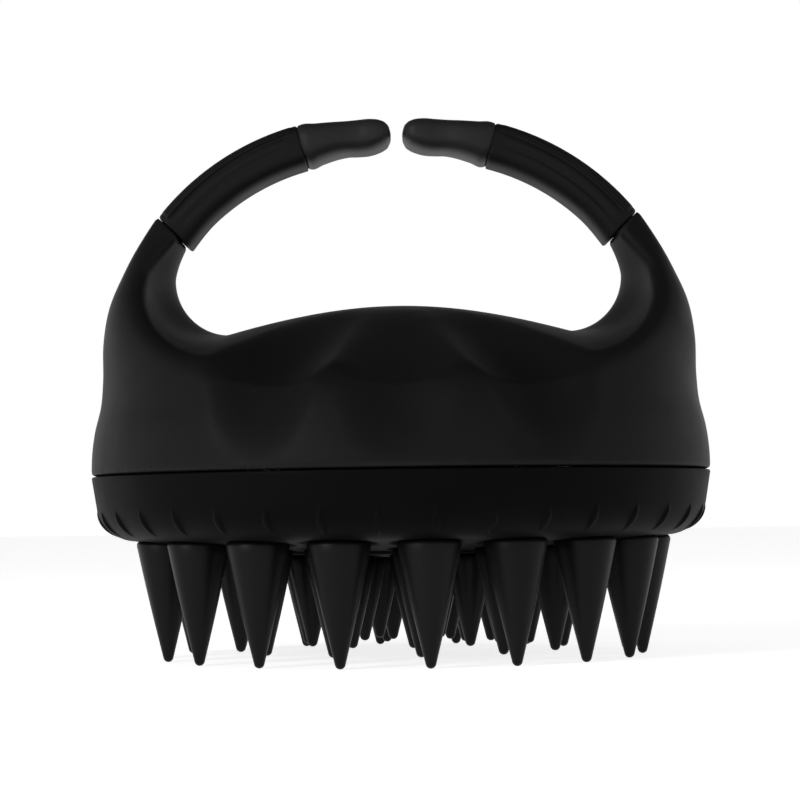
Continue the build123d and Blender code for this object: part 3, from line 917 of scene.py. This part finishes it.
SPINE_START = ROOT_ANGLE + 0.4
SPINE_END = 86.0
SPINE_HALF_R = 1.2
SPINE_HALF_Y = 4.0
SPINE_POWER = 5.0        # squareness of the section
SPINE_INSET = 0.3        # how much smaller its two end sections are
SPINE_ROWS = 40
SPINE_COLUMNS = 32


def build_spine(side, name):
    """Springy core, a smooth bar curved along the arm's arc like the sleeve."""
    turns = even_turns(SPINE_COLUMNS)
    points = []
    for row, angle in enumerate(np.linspace(SPINE_START, SPINE_END, SPINE_ROWS)):
        shrink = SPINE_INSET if row in (0, SPINE_ROWS - 1) else 0.0
        out, depth = squared(turns, SPINE_HALF_R - shrink, SPINE_HALF_Y - shrink, SPINE_POWER)
        points += arm_ring(ARM_MID_R + out, math.radians(angle), depth, side)
    faces = tube_faces(SPINE_ROWS, SPINE_COLUMNS, side)
    obj = add_object(f"{name}_spine_core", points, faces, INNER_BLACK)
    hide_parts(f"{name}_arm_spine")
    blend_arm(obj)


CAP_LINE = (
    # share of the cap's length from its seam, upper and lower radius, half depth
    (0.00, 40.55, 35.05, 6.55),
    (0.02, 40.88, 34.65, 6.95),
    (0.05, 40.98, 34.45, 7.15),
    (0.20, 40.66, 34.75, 7.25),
    (0.38, 40.44, 35.15, 7.00),
    (0.52, 40.38, 35.32, 6.55),
    (0.64, 40.46, 35.28, 6.50),
    (0.78, 40.58, 35.50, 6.90),
    (0.88, 40.42, 36.00, 6.85),
    (0.94, 40.02, 36.50, 6.35),
    (0.98, 39.35, 37.10, 5.40),
    (1.00, 38.60, 37.80, 3.60),
)
CAP_START = CAP_ANGLE + 0.12
CAP_POWER = 3.0          # squareness of the section
CAP_COLUMNS = 56
CAP_ROWS = (
    # first and last share of the length and number of sections: rim, length and round end
    (0.0, 0.06, 6),
    (0.08, 0.86, 34),
    (0.88, 1.0, 14),
)


def build_cap(side, name):
    """Hard cap: full at the seam, slim at its neck, with a bulbous round end."""
    turns = even_turns(CAP_COLUMNS)
    shares = np.concatenate([np.linspace(*rows) for rows in CAP_ROWS])
    upper, lower, half_y = smooth_table(np.array(CAP_LINE), shares)
    points = []
    for share, top, low, deep in zip(shares, upper, lower, half_y):
        angle = CAP_START + share * (END_ANGLE - CAP_START)
        out, depth = squared(turns, (top - low) / 2, deep, CAP_POWER)
        points += arm_ring((top + low) / 2 + out, math.radians(angle), depth, side)
    faces = tube_faces(len(shares), CAP_COLUMNS, side)
    obj = add_object(f"{name}_cap_skin", points, faces, CAP_BLACK)
    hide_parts(f"{name}_tip_cap")
    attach(obj, f"{name}_arm")


# ---------------------------------------------------------------- stage, light and camera
FLOOR_HALF = 4.0         # in metres
FLOOR_GREY = (0.85, 0.85, 0.85)
FLOOR_ROUGH = 0.9
FLOOR_SPECULAR = 0.1
FLOOR_GLOW = 0.78


def build_stage():
    """Pale floor that glows a little."""
    half = FLOOR_HALF
    corners = [(-half, -half, 0), (half, -half, 0), (half, half, 0), (-half, half, 0)]
    mesh = bpy.data.meshes.new("floor")
    mesh.from_pydata(corners, [], [(0, 1, 2, 3)])
    pale, _, _, shader = new_material("pale_floor")
    shader.inputs["Base Color"].default_value = (*FLOOR_GREY, 1)
    shader.inputs["Roughness"].default_value = FLOOR_ROUGH
    shader.inputs["Specular IOR Level"].default_value = FLOOR_SPECULAR
    shader.inputs["Emission Color"].default_value = (1.0, 1.0, 1.0, 1)
    shader.inputs["Emission Strength"].default_value = FLOOR_GLOW
    mesh.materials.append(pale)
    floor = bpy.data.objects.new("floor", mesh)
    bpy.context.scene.collection.objects.link(floor)


SKY = (
    # height on the ramp from the horizon up, and brightness there
    (0.22, 1.0),
    (0.36, 0.22),
    (0.75, 0.05),
)
LIGHTS = (
    # name, place and target in metres, size in metres and power in watts
    ("key", (-0.60, -0.62, 0.25), (0, 0, 0.04), (0.35, 0.6), 4.5),
    ("rim", (0.75, -0.10, 0.45), (0, 0, 0.05), (0.4, 0.5), 0.8),
)


def aim(obj, target):
    """Turn an object so that it looks at a point."""
    direction = Vector(target) - obj.location
    obj.rotation_euler = direction.to_track_quat("-Z", "Y").to_euler()


def soft_light(name, place, target, size, power):
    """Rectangular area light."""
    data = bpy.data.lights.new(name, "AREA")
    data.shape = "RECTANGLE"
    data.size, data.size_y = size
    data.energy = power
    light = bpy.data.objects.new(name, data)
    light.location = place
    bpy.context.scene.collection.objects.link(light)
    aim(light, target)


def build_light():
    """Plain surroundings, pale along the horizon and dimmer overhead, and two soft lights."""
    world = bpy.data.worlds.new("studio")
    bpy.context.scene.world = world
    world.use_nodes = True
    nodes = world.node_tree.nodes
    links = world.node_tree.links
    coordinates = nodes.new("ShaderNodeTexCoord")
    split = nodes.new("ShaderNodeSeparateXYZ")
    ramp = nodes.new("ShaderNodeValToRGB")
    (low, low_grey), (middle, middle_grey), (high, high_grey) = SKY
    stops = ramp.color_ramp.elements
    stops[0].position = low
    stops[0].color = (low_grey, low_grey, low_grey, 1)
    stops[1].position = high
    stops[1].color = (high_grey, high_grey, high_grey, 1)
    stops.new(middle).color = (middle_grey, middle_grey, middle_grey, 1)
    links.new(coordinates.outputs["Generated"], split.inputs["Vector"])
    links.new(split.outputs["Z"], ramp.inputs["Fac"])
    links.new(ramp.outputs["Color"], nodes["Background"].inputs["Color"])
    for name, place, target, size, power in LIGHTS:
        soft_light(name, place, target, size, power)


# in millimetres, like the lens and its sensor
CAMERA_DISTANCE = 402.1
CAMERA_HEIGHT = 21.15
LOOK_HEIGHT = 39.8
CAMERA_ROLL = -0.77      # in degrees
LENS = 115.8
SENSOR = 36.0
CLIP = (0.01, 50.0)      # in metres


def build_camera():
    """Eye level with the pad, straight in front of the shell."""
    data = bpy.data.cameras.new("camera")
    data.lens = LENS
    data.sensor_width = SENSOR
    data.clip_start, data.clip_end = CLIP
    camera = bpy.data.objects.new("camera", data)
    camera.location = (0.0, -CAMERA_DISTANCE * MM, CAMERA_HEIGHT * MM)
    direction = Vector((0, 0, LOOK_HEIGHT * MM)) - camera.location
    roll = Matrix.Rotation(math.radians(CAMERA_ROLL), 3, "Z")
    rotation = direction.to_track_quat("-Z", "Y").to_matrix() @ roll
    camera.rotation_euler = rotation.to_euler()
    bpy.context.scene.collection.objects.link(camera)
    bpy.context.scene.camera = camera


bpy.context.scene.view_settings.view_transform = "Standard"
build_camera()
build_stage()
build_light()
build_shell()
build_teeth()
build_pad()
for side, name in ((-1, "left"), (1, "right")):
    build_sleeve(side, name)
    build_spine(side, name)
    build_cap(side, name)
finish_cad_node("pad_carrier", INNER_BLACK)
finish_cad_node("carrier_screws", screw_steel())
